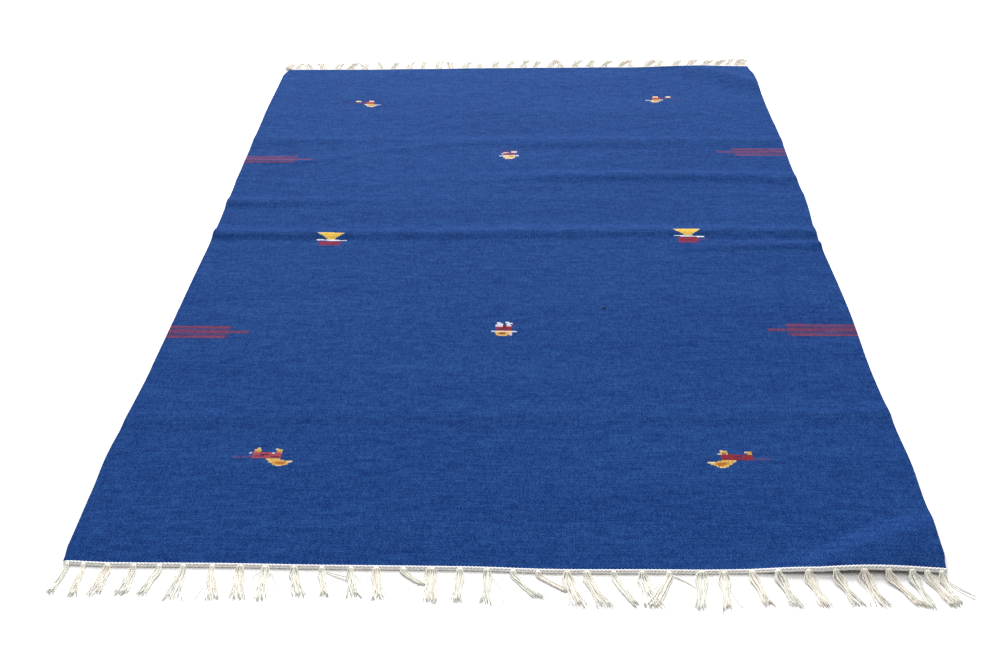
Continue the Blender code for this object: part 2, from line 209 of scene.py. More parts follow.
# Cup of the goblets: its steps, its height, its half widths, and the pale ends of its top steps
GOBLET_STEPS = 10
GOBLET_LOW, GOBLET_HIGH = 2, 24
GOBLET_STEM, GOBLET_RIM = 7, 31
PALE_STEPS = 2
PALE_LEFT, PALE_RIGHT = 8, 6


# The cup's yellow is painted light, brighter than the figures' yellow
def goblet_bars():
    """Stepped cup of the goblet: bars that widen evenly from the stem to the rim, the top ones
    with pale ends."""
    rows = []
    for step in range(GOBLET_STEPS):
        low = GOBLET_LOW + (GOBLET_HIGH - GOBLET_LOW) * step / GOBLET_STEPS
        high = GOBLET_LOW + (GOBLET_HIGH - GOBLET_LOW) * (step + 1) / GOBLET_STEPS
        half = GOBLET_STEM + (GOBLET_RIM - GOBLET_STEM) * step / (GOBLET_STEPS - 1)
        rows.append(Bar(GOBLET_YELLOW_PAINTED_LIGHT, -half, half, low, high))
        if step >= GOBLET_STEPS - PALE_STEPS:
            rows.append(Bar(CREAM, -half, -half + PALE_LEFT, low, high))
            rows.append(Bar(CREAM, half - PALE_RIGHT, half, low, high))
    return rows


# Feet of the left and the right goblet, and what both have: the foot's shades and the saucer
LEFT_FOOT = chart(
    (RED, -30, 31, -12, -7, 0.45), (RED, -22, 22, -20, -4, 0.85),
)
RIGHT_FOOT = chart(
    (RED, -22, 22, -20, -4), (RED, -21, 20, -27, -20, 0.9), (LINE_RED, 20, 38, -16, -11, 0.6),
)
# The saucer line's white is painted light, brighter than the figures' white
SAUCER = chart(
    (DEEP_RED, -14, 10, -15, -12, 0.8), (RED, -18, 17, -23, -19, 0.8),
    (LINE_RED, -26, 28, -24, -20, 0.35), (CREAM, -9, 10, -1, 4), (GOBLET_WHITE_PAINTED_LIGHT, -32, -16, 0, 3),
    (GOBLET_WHITE_PAINTED_LIGHT, -16, -6, -1, 2), (GOBLET_WHITE_PAINTED_LIGHT, -6, 8, -2, 1), (GOBLET_WHITE_PAINTED_LIGHT, 8, 20, -2, 1), (GOBLET_WHITE_PAINTED_LIGHT, 20, 37, -3, 0),
)
LEFT_GOBLET = goblet_bars() + LEFT_FOOT + SAUCER
RIGHT_GOBLET = goblet_bars() + RIGHT_FOOT + SAUCER
# Lines woven in from the side edges
SIDE_LINES = chart(
    (MAUVE, -20, 126, -20, 20, 0.60), (LINE_RED, -20, 127, 14, 21, 0.90),
    (LINE_RED, -20, 60, 9, 11, 0.55), (LINE_RED, -20, 128, -2, 6, 0.90),
    (RED, 20, 90, 1, 4, 0.60), (LINE_RED, 30, 122, -8, -6, 0.50),
    (LINE_RED, -20, 120, -20, -13, 0.90), (MAUVE, 126, 167, -5, 7, 0.60),
    (LINE_RED, 128, 165, -3, 4, 0.80),
)
FAR_LINES = [bar._replace(yarn=LILAC) if bar.yarn == LINE_RED else bar for bar in SIDE_LINES]
# A dark speck of lint, charted like a figure
LINT = chart((NAVY, -4, 3, -3, 3), (NAVY, 2, 6, 2, 5, 0.8))

# Where the figures are: their origin in metres, and -1 where the figure is turned left to right
Place = namedtuple("Place", "chart x y turn")
FIGURES = [
    Place(ROSE_BIRD, -0.448, -0.7585, 1),
    Place(RIGHT_BIRD, 0.427, -0.752, -1),
    Place(FAR_BIRD, -0.456, 0.732, 1),
    Place(FAR_BIRD, 0.442, 0.766, -1),
    Place(MASK, -0.012, -0.362, 1),
    Place(FAR_MASK, -0.013, 0.417, 1),
    Place(LEFT_GOBLET, -0.4165, -0.0160, 1),
    Place(RIGHT_GOBLET, 0.4020, 0.0075, 1),
    Place(SIDE_LINES, -0.697, -0.380, 1),
    Place(FAR_LINES, -0.690, 0.386, 1),
    Place(SIDE_LINES, 0.688, -0.360, -1),
    Place(FAR_LINES, 0.692, 0.436, -1),
    Place(LINT, 0.195, -0.287, 1),
]

# Side edges: a slightly thicker rib with a bead where each weft turns back
SELVEDGE_RADIUS = 2.2 * MM
SELVEDGE_INSET = 1.7 * MM
SELVEDGE_BEAD = 4.0 * MM
SELVEDGE_SWELL = 0.25 * MM
SELVEDGE_SIDES = 8
BEAD_STATIONS = 4

# End band. out: distance from the cloth's edge; high: height over the floor, or over the lifted
# edge; twist: the circle the plies follow; turn: length of a full circle. The sag is for each
# metre out, the section's corners are in millimetres, and the tint is the same on every ply.
BAND_WIDTH = 9.5 * MM
BAND_INSET = 2.5 * MM
BAND_SAG = 22.0
TWINE = {"out": 2.0 * MM, "high": 3.2 * MM, "twist": 0.90 * MM, "ply": 1.90 * MM,
         "turn": 12.0 * MM, "plies": 2}
CORD = {"out": 5.1 * MM, "high": 2.2 * MM, "twist": 0.55 * MM, "ply": 1.05 * MM,
        "turn": 24.0 * MM, "plies": 3}
PLY_STATIONS = 8
PLY_SIDES = 7
BASE_STATIONS = 141
BASE_SECTION = ((0.2, 0.1), (0.2, 2.8), (4.0, 2.6), (4.8, 1.9), (5.5, 1.2), (5.8, 0.1))
PLAIN_TINT = 0.6

# Tassels, from the left: the place of the root on X and, in millimetres, the tip's sideways lean,
# the length, the half width at the head, the swelling below it and the half width at the tip
NEAR_TASSELS = (
    (-0.6900, -8, 54, 3.0, 0.5, 4.5), (-0.6635, 1, 58, 3.0, 0.5, 6.5),
    (-0.6245, -4, 54, 4.6, 2.0, 8.5), (-0.5835, -4, 53, 4.2, 1.6, 9.5),
    (-0.5425, -14, 53, 3.6, 1.0, 5.5), (-0.5045, -2, 61, 4.0, 1.4, 12.0),
    (-0.4585, 14, 60, 3.4, 0.8, 8.5), (-0.4140, 8, 59, 4.8, 2.2, 9.0),
    (-0.3745, 4, 60, 5.0, 1.2, 6.5), (-0.3285, 16, 52, 4.4, 2.6, 8.5),
    (-0.2845, 12, 49, 4.0, 1.6, 5.5), (-0.2390, 12, 52, 4.2, 2.0, 9.5),
    (-0.1995, 8, 55, 4.4, 1.4, 6.5), (-0.1570, 32, 27, 4.6, 2.0, 7.0),
    (-0.1130, 3, 64, 7.0, 2.0, 8.0), (-0.0675, -2, 60, 4.8, 2.0, 6.5),
    (-0.0255, -1, 60, 5.0, 1.6, 6.5), (0.0155, 40, 46, 3.6, 2.2, 7.5),
    (0.0545, 44, 33, 3.8, 2.6, 8.0), (0.1000, 16, 62, 4.4, 3.0, 8.5),
    (0.1310, 25, 63, 4.4, 2.4, 9.5), (0.1730, 28, 62, 3.8, 1.6, 4.5),
    (0.2165, 12, 64, 4.6, 4.0, 12.0), (0.2585, -30, 60, 3.8, 1.0, 8.0),
    (0.3085, -9, 67, 7.0, 2.0, 7.0), (0.3435, -4, 69, 5.4, 3.8, 6.5),
    (0.3875, 17, 62, 4.2, 3.6, 6.5), (0.4275, 18, 64, 4.0, 4.6, 8.0),
    (0.4740, 16, 62, 4.0, 4.6, 8.0), (0.5170, 23, 62, 3.8, 4.8, 9.0),
    (0.5610, 14, 64, 3.8, 4.6, 11.0), (0.5980, 36, 62, 4.0, 5.2, 6.5),
    (0.6345, 13, 66, 4.0, 5.4, 7.5), (0.6575, 25, 61, 3.6, 4.2, 6.5),
    (0.6805, 10, 56, 3.6, 3.6, 5.5),
)
TASSEL_COUNT = len(NEAR_TASSELS)

# Far tassels: the common lean and length by the tassel's number, and how far chance may take each
# column of the table, in millimetres
FAR_LEANS = ((0, -6.0), (9, 4.0), (20, 10.0), (26, 18.0), (34, 12.0))
FAR_LENGTHS = ((0, 52.0), (12, 64.0), (24, 62.0), (34, 64.0))
FAR_CHANCES = ((-16, 16), (-10, 4), (4.0, 7.0), (0.5, 5.0), (7.0, 13.0))

# Yarns of a tassel: first over the outer cord, at stations in millimetres, then on to the tip.
# The hump over the cord has a top, a height and two slopes. Shares are of the way from the band's
# rim to the yarn's tip, and a hump there has a place, a near slope and a far slope.
YARNS = 12
YARN_RADIUS = 1.08 * MM
YARN_TIP = 0.6
YARN_SIDES = 6
HEAD_STATIONS = (4.2, 5.2, 6.4, 7.6, 9.2, 11.5)
REST_STATIONS = 11
HEAD_TOP = 5.8 * MM
HEAD_HIGH = 2.3 * MM
HEAD_RISE, HEAD_FALL = 6.0 * MM, 7.5 * MM
GATHERED = 0.45
FULLNESS = 1.2
FAN_POWER = 1.2
SWELLING = (0.17, 0.17, 0.22)
NECK = (0.55, 0.26, 0.34)
NECK_DEPTH = 0.45
WANDER = 1.3 * MM
SLOW_WAVE, QUICK_WAVE = 1.1, 2.3
QUICK_SIZE = 0.5
LEAN_POWERS = (0.95, 1.5)
GROUNDED = 0.62
STACK_ROOT, STACK_TIP = 1.5, 0.6
SIDE_CHANCE = 0.13
LENGTH_CHANCES = (0.88, 1.03)
RADIUS_CHANCES = (0.75, 1.0)
TONE_CHANCES = (0.2, 1.0)
THIN_POWER = 5

# Hairs at a yarn's cut end
TIP_HAIRS = 2
HAIR_RADIUS = 0.20 * MM
HAIR_ROOT, HAIR_TIP = 1.5, 0.6
HAIR_LENGTH = 5.0 * MM
HAIR_LENGTHS = (0.35, 1.0)
HAIR_FROM = -0.25
HAIR_STATIONS = 4
HAIR_SIDES = 3
HAIR_ANGLE = 0.45
HAIR_BEND = 0.35
HAIR_FALLS = (0.1, 1.0)
NEAR_SEED = 11
FAR_SEED = 23

# Single yarns that stray from a tassel: its number, sideways lean, reach out and bow, in mm
Loose = namedtuple("Loose", "tassel lean reach bow")
NEAR_LOOSE = [Loose(*row) for row in (
    (6, -13, 60, 3), (8, -16, 34, -8), (8, 26, 46, 7), (8, 20, 30, 8),
    (10, 44, 12, -3), (10, 40, 16, -5), (10, 42, 20, -4), (11, 24, 54, 8),
    (12, 16, 50, -7), (12, 20, 44, -3), (16, 28, 56, 6), (17, 24, 66, 4),
    (20, -14, 42, -3), (23, -26, 26, 6), (23, 38, 24, 5), (23, 34, 18, 4),
    (23, 46, 30, 3), (25, 20, 64, -4), (27, 6, 20, 5), (30, 24, 62, -6),
    (34, 34, 36, -6), (34, 38, 46, -8), (34, 40, 39, -3),
)]
LOOSE_RADIUS = 0.5 * MM
LOOSE_SIDES = 5
LOOSE_STATIONS = 17
LOOSE_ROOT = 2 * MM
LOOSE_TOP = 3 * MM
LOOSE_REST = 0.6 * MM
LOOSE_GROUNDED = 0.5

# Floor and light. A light has its place, the point it faces, its width and height, and its power.
FLOOR_WIDTH = 18.0
WORLD_LIGHT = 0.17
WINDOW = ((-0.5, 6.8, 4.3), (0.0, 0.0, 0.0), (6.4, 5.6), 1290.0)
OVERHEAD = ((0.0, 0.6, 6.0), (0.0, 0.6, 0.0), (8.0, 8.0), 285.0)

# Camera of the photograph: its place in metres, its turns in radians, and the image's width and
# the focal length in pixels
CAMERA_PLACE = (0.034, -2.2205, 1.3296)
CAMERA_YAW = -0.0290
CAMERA_PITCH = 0.6230
CAMERA_ROLL = -0.0104
IMAGE_WIDTH = 1000
FOCAL_PIXELS = 1122
SENSOR_MM = 36.0


def soft(table, value):
    """Reads a table of (place, value) rows, eased between the rows by half a cosine wave."""
    places = np.array([row[0] for row in table])
    values = np.array([row[1] for row in table])
    step = np.clip(np.searchsorted(places, value, side="right") - 1, 0, len(places) - 2)
    share = np.clip((value - places[step]) / (places[step + 1] - places[step]), 0.0, 1.0)
    return values[step] + (values[step + 1] - values[step]) * (0.5 - 0.5 * np.cos(np.pi * share))


def bend(four, x):
    """Cubic through four values at even stations from the left edge to the right edge, written
    with Newton's forward differences."""
    a, b, c, d = four
    t = (x / HALF_WIDTH + 1) * 1.5
    steeper = (d - 3 * c + 3 * b - a) / 6
    return a + t * ((b - a) + (t - 1) * ((c - 2 * b + a) / 2 + (t - 2) * steeper))


def bump(distance, near, far):
    """Ridge section: half a cosine wave on each side, 1 on the crest and 0 from the feet on."""
    share = np.where(distance < 0, -distance / near, distance / far)
    return 0.5 + 0.5 * np.cos(np.pi * np.clip(share, 0.0, 1.0))


def corner_raise(corner, x, y):
    """Height of the ridge at a raised corner: a bump across its slanted crest line, whose height
    arches along the line as a sine wave."""
    start, end = np.array(corner.start), np.array(corner.end)
    length = np.linalg.norm(end - start)
    along = (end - start) / length
    across = (x - start[0]) * -along[1] + (y - start[1]) * along[0]
    share = np.clip(((x - start[0]) * along[0] + (y - start[1]) * along[1]) / length, 0.0, 1.0)
    crest = corner.high_start + (corner.high_end - corner.high_start) * share
    crest = (crest + corner.arch * np.sin(np.pi * share)) * MM
    return crest * bump(across, corner.reach_out, corner.reach_in)


def lift(x, y):
    """Height of the cloth's underside: the raised corners plus one bump along each fold's crest."""
    x = np.asarray(x, dtype=float)
    y = np.asarray(y, dtype=float)
    height = np.zeros(np.broadcast(x, y).shape)
    for corner in CORNERS:
        height = height + corner_raise(corner, x, y)
    for fold in FOLDS:
        crest = soft(list(zip(np.linspace(-HALF_WIDTH, HALF_WIDTH, 4), fold.heights)), x) * MM
        height = height + crest * bump(y - bend(fold.places, x), fold.near, fold.far)
    return height


def crease(x, y):
    """Height of the small creases: a bump across each one's line, which tapers off at its ends as
    one minus the fourth power of the way from the middle."""
    height = np.zeros(np.broadcast(x, y).shape)
    for row in CREASES:
        t = (x - row.start[0]) / (row.end[0] - row.start[0])
        line = row.start[1] + (row.end[1] - row.start[1]) * t + row.bow * 4 * t * (1 - t)
        taper = np.clip(1 - (2 * t - 1) ** 4, 0, 1)
        height = height + row.high * MM * taper * bump(y - line, row.near, row.far)
    return height


def rise(x, y):
    """Height of everything above the floor: the folds and corners and the small creases."""
    return lift(x, y) + crease(x, y)


def swell(x, y):
    """Small unevenness: a sum of slanted sine waves, each raised so that it stays above zero."""
    height = np.zeros(np.broadcast(x, y).shape)
    for wave in SWELLS:
        phase = 2 * np.pi * (x / wave.across + y / wave.along) + wave.turn
        height = height + wave.high * MM * (0.5 + 0.5 * np.sin(phase))
    return height


def side_line(side, y):
    """Place on X of the cloth's edge at one side, -1 left and +1 right."""
    strays = [row.left if side < 0 else row.right for row in SIDE_STRAYS]
    rows = [(row.along * HALF_LENGTH, far * MM) for row, far in zip(SIDE_STRAYS, strays)]
    return side * (HALF_WIDTH + soft(rows, y))


def end_line(end, x):
    """Place on Y of the cloth's edge at one end, -1 near and +1 far."""
    strays = [row.near if end < 0 else row.far for row in END_STRAYS]
    rows = [(row.across * HALF_WIDTH, far * MM) for row, far in zip(END_STRAYS, strays)]
    return end * (HALF_LENGTH + soft(rows, x))


def field_place(u, v):
    """Point of the cloth's top. u and v run from -1 to 1 across and along the weave: Y runs
    straight between the two end lines, X straight between the two side lines at that Y, and Z is
    the thickness plus the folds, the small creases and the swells."""
    x = u * HALF_WIDTH
    low, high = end_line(-1, x), end_line(1, x)
    y = low + (high - low) * (v + 1) / 2
    left, right = side_line(-1, y), side_line(1, y)
    x = left + (right - left) * (u + 1) / 2
    return np.stack([x, y, CLOTH_THICK + rise(x, y) + swell(x, y)], axis=-1)


def figure_box(place):
    """Lowest and highest X and Y of a figure on the rug, with the margin round it."""
    sides = sorted(place.turn * x * MM for bar in place.chart for x in (bar.left, bar.right))
    low = min(bar.low for bar in place.chart) * MM
    high = max(bar.high for bar in place.chart) * MM
    return (place.x + sides[0] - FIGURE_MARGIN, place.x + sides[-1] + FIGURE_MARGIN,
            place.y + low - FIGURE_MARGIN, place.y + high + FIGURE_MARGIN)


def in_figure(points):
    """True where a point lies in the box of any figure."""
    inside = np.zeros(len(points), dtype=bool)
    for place in FIGURES:
        left, right, low, high = figure_box(place)
        across = (points[:, 0] > left) & (points[:, 0] < right)
        inside |= across & (points[:, 1] > low) & (points[:, 1] < high)
    return inside


def woven_colours(points):
    """Yarn colour at each point, with the yarn's cover as a fourth value: each bar of each figure
    paints the points that lie between its sides."""
    colours = np.zeros((len(points), 4))
    colours[:, :3] = MAUVE
    for place in FIGURES:
        x = (points[:, 0] - place.x) / MM * place.turn
        y = (points[:, 1] - place.y) / MM
        for bar in place.chart:
            hit = (x >= bar.left) & (x < bar.right) & (y >= bar.low) & (y < bar.high)
            colours[hit] = (*bar.yarn, bar.cover)
    return colours


def grid_faces(rows, columns):
    """Quads of a grid of points numbered row by row."""
    corner = (np.arange(rows - 1)[:, None] * columns + np.arange(columns - 1)).ravel()
    return np.stack([corner, corner + 1, corner + columns + 1, corner + columns], axis=1)


def new_mesh_piece(name, points, faces, material):
    """Smooth mesh object at the origin, with one material."""
    mesh = bpy.data.meshes.new(name)
    mesh.from_pydata(points, [], faces)
    mesh.polygons.foreach_set("use_smooth", np.ones(len(mesh.polygons), dtype=bool))
    mesh.materials.append(material)
    piece = bpy.data.objects.new(name, mesh)
    bpy.context.scene.collection.objects.link(piece)
    return piece


def read_values(items, name, width=1, kind=float):
    """One property of all items as an array, with a row for each item where it's wider than 1."""
    values = np.empty(len(items) * width, dtype=kind)
    items.foreach_get(name, values)
    return values if width == 1 else values.reshape(-1, width)


def set_uv(mesh, uv):
    """Gives the mesh a UV map from one (u, v) pair for each point."""
    layer = mesh.uv_layers.new(name="weave")
    corners = read_values(mesh.loops, "vertex_index", kind=np.int32)
    layer.uv.foreach_set("vector", uv[corners].astype(np.float32).ravel())


def set_face_colours(mesh, colours):
    """Gives each face its yarn colour, at all of its corners."""
    sizes = read_values(mesh.polygons, "loop_total", kind=np.int32)
    layer = mesh.color_attributes.new("yarn", "FLOAT_COLOR", "CORNER")
    layer.data.foreach_set("color", np.repeat(colours, sizes, axis=0).astype(np.float32).ravel())


def build_field(material):
    """Woven field: an even grid on u and v, split finer where figures are, set on its surface by
    field_place, coloured face by face and given its thickness downwards."""
    across = np.linspace(-1, 1, FIELD_COLUMNS + 1)
    along = np.linspace(-1, 1, FIELD_ROWS + 1)
    u, v = np.meshgrid(across, along)
    flat = np.stack([u.ravel(), v.ravel(), np.zeros(u.size)], axis=1)
    cloth = new_mesh_piece("woven_field", flat, grid_faces(*u.shape), material)
    mesh = cloth.data
    centres = read_values(mesh.polygons, "center", 3)
    chosen = in_figure(field_place(centres[:, 0], centres[:, 1]))
    bm = bmesh.new()
    bm.from_mesh(mesh)
    bm.faces.ensure_lookup_table()
    edges = {edge for number in np.flatnonzero(chosen) for edge in bm.faces[number].edges}
    bmesh.ops.subdivide_edges(bm, edges=list(edges), cuts=FIGURE_CUTS, use_grid_fill=True)
    for edge in bm.edges:
        edge.smooth = not edge.is_boundary
    bm.to_mesh(mesh)
    bm.free()
    flat = read_values(mesh.vertices, "co", 3)
    set_uv(mesh, (flat[:, :2] + 1) / 2)
    mesh.vertices.foreach_set("co", field_place(flat[:, 0], flat[:, 1]).ravel())
    mesh.update()
    set_face_colours(mesh, woven_colours(read_values(mesh.polygons, "center", 3)))
    solid = cloth.modifiers.new("thickness", "SOLIDIFY")
    solid.thickness = CLOTH_THICK
    solid.offset = -1.0
    return cloth


def tubes(paths, radii, sides):
    """Round tubes along many paths at once. A ring's point is the path's point plus the radius
    times the cosine of its angle sideways and the sine upwards, square to the path.
    paths: tubes x stations x 3; radii: tubes x stations. Returns points, quads and end caps."""
    count, stations = paths.shape[:2]
    ahead = np.gradient(paths, axis=1)
    ahead /= np.linalg.norm(ahead, axis=2, keepdims=True)
    side = np.cross(ahead, np.array([0.0, 0.0, 1.0]))
    side /= np.linalg.norm(side, axis=2, keepdims=True)
    top = np.cross(side, ahead)
    turn = 2 * np.pi * np.arange(sides) / sides
    ring = (np.cos(turn)[:, None] * side[:, :, None, :]
            + np.sin(turn)[:, None] * top[:, :, None, :])
    points = paths[:, :, None, :] + radii[:, :, None, None] * ring
    first = (np.arange(count)[:, None, None] * stations + np.arange(stations - 1)[:, None]) * sides
    this = np.arange(sides)
    following = (this + 1) % sides
    quads = np.stack(
        [first + this, first + following, first + sides + following, first + sides + this],
        axis=-1,
    ).reshape(-1, 4)
    starts = np.arange(count)[:, None] * stations * sides
    low = starts + this
    high = starts + (stations - 1) * sides + this[::-1]
    return points.reshape(-1, 3), quads[:, ::-1], np.concatenate([low, high])


def tube_uv(paths, sides):
    """UV of tubes: u once round, v the length along the path in metres."""
    steps = np.linalg.norm(np.diff(paths, axis=1), axis=2)
    length = np.concatenate([np.zeros((len(paths), 1)), np.cumsum(steps, axis=1)], axis=1)
    around = np.arange(sides) / sides
    u = np.broadcast_to(around, (*length.shape, sides))
    v = np.broadcast_to(length[:, :, None], u.shape)
    return np.stack([u.ravel(), v.ravel()], axis=1)


def set_point_value(mesh, name, values):
    """Gives each point its value."""
    layer = mesh.attributes.new(name, "FLOAT", "POINT")
    layer.data.foreach_set("value", values.astype(np.float32))


def tube_piece(name, groups, material):
    """One mesh of several groups of tubes; a group is (paths, radii, sides, tint), where tint has
    a row for each tube with its tone, dark to light, and its warmth."""
    points, faces, uvs, tints = [], [], [], []
    start = 0
    for paths, radii, sides, tint in groups:
        some, quads, caps = tubes(paths, radii, sides)
        points.append(some)
        faces += (quads + start).tolist() + (caps + start).tolist()
        uvs.append(tube_uv(paths, sides))
        tints.append(np.repeat(tint, paths.shape[1] * sides, axis=0))
        start += len(some)
    piece = new_mesh_piece(name, np.concatenate(points), faces, material)
    set_uv(piece.data, np.concatenate(uvs))
    set_point_value(piece.data, "tone", np.concatenate(tints)[:, 0])
    set_point_value(piece.data, "warm", np.concatenate(tints)[:, 1])
    return piece


def build_selvedge(name, u, material):
    """Rib along a side edge: a tube on the edge line whose radius swells at each bead."""
    stations = int(FIELD_LENGTH / SELVEDGE_BEAD) * BEAD_STATIONS + 1
    v = np.linspace(-1, 1, stations)
    places = field_place(np.full(stations, u), v)
    places[:, 0] -= u * SELVEDGE_INSET
    places[:, 2] += SELVEDGE_RADIUS - CLOTH_THICK
    bead = np.sin(np.pi * np.arange(stations) / BEAD_STATIONS) ** 2
    radii = SELVEDGE_RADIUS - SELVEDGE_SWELL * (1 - bead)
    points, quads, caps = tubes(places[None], radii[None], SELVEDGE_SIDES)
    piece = new_mesh_piece(name, points, quads.tolist() + caps.tolist(), material)
    along = np.repeat((v + 1) / 2, SELVEDGE_SIDES)
    round_it = np.tile(np.arange(SELVEDGE_SIDES) / SELVEDGE_SIDES, stations)
    across = (u + 1) / 2 + (round_it - 0.5) * SELVEDGE_RADIUS * 2 / FIELD_WIDTH
    set_uv(piece.data, np.stack([across, along], axis=1))
    centres = read_values(piece.data.polygons, "center", 3)
    set_face_colours(piece.data, woven_colours(centres))
    return piece


def band_reach(end):
    """Places on X where the end band starts and stops."""
    return side_line(-1, end * HALF_LENGTH) + BAND_INSET, side_line(1, end * HALF_LENGTH)


def band_line(end, x, out, high):
    """Points on the end band: out from the cloth's edge, and high above the lifted edge, which sags
    in proportion to its height and to the distance out."""
    y = end_line(end, x) + end * (PIECE_GAP + out)
    return np.stack([x + 0 * y, y, rise(x, y) * (1 - BAND_SAG * out) + high], axis=-1)


def twisted(end, shape):
    """Plies of a twisted cord on the end band: each ply circles the cord's line, a full circle to
    each turn, and the plies follow each other evenly round it."""
    low, high = band_reach(end)
    stations = int((high - low) / shape["turn"] * PLY_STATIONS)
    x = np.linspace(low, high, stations)
    plies = []
    for number in range(shape["plies"]):
        angle = 2 * np.pi * ((x - low) / shape["turn"] + number / shape["plies"])
        out = shape["out"] + shape["twist"] * np.cos(angle)
        plies.append(band_line(end, x, out, shape["high"] + shape["twist"] * np.sin(angle)))
    paths = np.array(plies)
    tint = np.full((len(paths), 2), PLAIN_TINT)
    return paths, np.full(paths.shape[:2], shape["ply"]), PLY_SIDES, tint


def build_band_base(name, end, material):
    """Flat warp band under the cords: its section, a row of (out, high) points, carried along."""
    low, high = band_reach(end)
    x = np.linspace(low, high, BASE_STATIONS)
    rows = [band_line(end, x, out * MM, top * MM) for out, top in BASE_SECTION]
    points = np.array(rows)
    count, columns = points.shape[:2]
    quads = grid_faces(count + 1, columns) % (count * columns)
    ends = [np.arange(count) * columns, (np.arange(count) * columns + columns - 1)[::-1]]
    if end < 0:
        quads = quads[:, ::-1]
        ends = [ring[::-1] for ring in ends]
    faces = quads.tolist() + [ring.tolist() for ring in ends]
    return new_mesh_piece(name, points.reshape(-1, 3), faces, material)


def tassel_table(end, chance):
    """Tassels of one end as an array with the columns of NEAR_TASSELS, all in metres. The
    far ones stand where the near ones do, and chance gives their other columns."""
    rows = np.array(NEAR_TASSELS, dtype=float)
    if end > 0:
        number = np.arange(TASSEL_COUNT)
        for column, (low, high) in enumerate(FAR_CHANCES, 1):
            rows[:, column] = chance.uniform(low, high, TASSEL_COUNT)
        rows[:, 1] += np.interp(number, *zip(*FAR_LEANS))
        rows[:, 2] += np.interp(number, *zip(*FAR_LENGTHS))
    rows[:, 1:] *= MM
    return rows


def yarn_paths(end, rows, side, length, layer, chance):
    """Paths of yarns that pass over the outer cord and fan out on the floor. rows holds each
    yarn's tassel, side runs from -1 to 1 across the tassel, and layer is 0 below and 1 above. The
    height is a bump over the cord, plus what is left of the lifted edge, plus the layer's. The
    sideways place is the tassel's lean, which grows with a power of the way out, plus side times
    a width that runs from the head's to the tip's with a swelling and a neck between, plus a
    small wander of two sine waves."""
    place, lean, _, head, loop, tip = rows.T[:, :, None]
    count = len(rows)
    over_cord = np.array(HEAD_STATIONS) * MM
    rest = np.linspace(0, 1, REST_STATIONS + 1)[1:]
    reach = (BAND_WIDTH + length)[:, None]
    out = np.concatenate(
        [np.tile(over_cord, (count, 1)), over_cord[-1] + (reach - over_cord[-1]) * rest], axis=1
    )
    share = np.clip((out - BAND_WIDTH) / length[:, None], 0, 1)
    gather = GATHERED + (1 - GATHERED) * np.clip((out - over_cord[0]) / HEAD_TOP, 0, 1)
    swelling = loop * bump(share - SWELLING[0], *SWELLING[1:])
    neck = NECK_DEPTH * loop * bump(share - NECK[0], *NECK[1:])
    fan = head * gather * (1 - share) + tip * share ** FAN_POWER
    width = FULLNESS * fan + swelling - neck
    turn = chance.uniform(0, 2 * np.pi, (count, 2))
    slow = np.sin(2 * np.pi * share * SLOW_WAVE + turn[:, :1])
    quick = np.sin(2 * np.pi * share * QUICK_WAVE + turn[:, 1:])
    wander = (slow + QUICK_SIZE * quick) * share * WANDER
    power = chance.uniform(*LEAN_POWERS, count)[:, None]
    x = place + lean * share ** power + side[:, None] * width + wander
    y = end_line(end, x) + end * (PIECE_GAP + out)
    root = rise(place, end_line(end, place) + end * BAND_WIDTH)
    lifted = root * (1 - BAND_SAG * BAND_WIDTH) * (1 - np.clip(share / GROUNDED, 0, 1)) ** 2
    over = HEAD_HIGH * bump(out - HEAD_TOP, HEAD_RISE, HEAD_FALL)
    stack = layer[:, None] * YARN_RADIUS * (STACK_ROOT - (STACK_ROOT - STACK_TIP) * share)
    return np.stack([x, y, YARN_RADIUS + lifted + over + stack], axis=-1)


def tip_hairs(paths, chance):
    """Fine hairs at the yarns' cut ends: each starts a little before the tip, leaves it at its own
    small angle with a slight bend, and sinks to the floor."""
    tip = np.repeat(paths[:, -1], TIP_HAIRS, axis=0)
    ahead = np.repeat(paths[:, -1] - paths[:, -2], TIP_HAIRS, axis=0)
    heading = np.arctan2(ahead[:, 1], ahead[:, 0]) + chance.normal(0, HAIR_ANGLE, len(tip))
    length = HAIR_LENGTH * chance.uniform(*HAIR_LENGTHS, len(tip))
    share = np.linspace(HAIR_FROM, 1, HAIR_STATIONS)
    bendy = chance.normal(0, HAIR_BEND, len(tip))[:, None] * share
    x = tip[:, :1] + np.cos(heading[:, None] + bendy) * share * length[:, None]
    y = tip[:, 1:2] + np.sin(heading[:, None] + bendy) * share * length[:, None]
    fall = chance.uniform(*HAIR_FALLS, len(tip))[:, None] * (1 - np.clip(share, 0, 1))
    z = HAIR_ROOT * HAIR_RADIUS + tip[:, 2:] * fall
    return np.stack([x, y, z], axis=-1)


def loose_paths(end, rows, places):
    """Single stray yarns: straight from the head to their tip but for a half sine bow to the side,
    and down to the floor as the square of the way still to go."""
    share = np.linspace(0, 1, LOOSE_STATIONS)
    paths = []
    for row in rows:
        x = places[row.tassel] + row.lean * MM * share + row.bow * MM * np.sin(np.pi * share)
        out = BAND_WIDTH - LOOSE_ROOT + (row.reach * MM + LOOSE_ROOT) * share
        y = end_line(end, x) + end * (PIECE_GAP + out)
        root = rise(places[row.tassel], y[0])
        left = 1 - np.clip(share / LOOSE_GROUNDED, 0, 1)
        z = LOOSE_REST + (root + LOOSE_TOP) * left ** 2
        paths.append(np.stack([x, y, z], axis=-1))
    return np.array(paths)


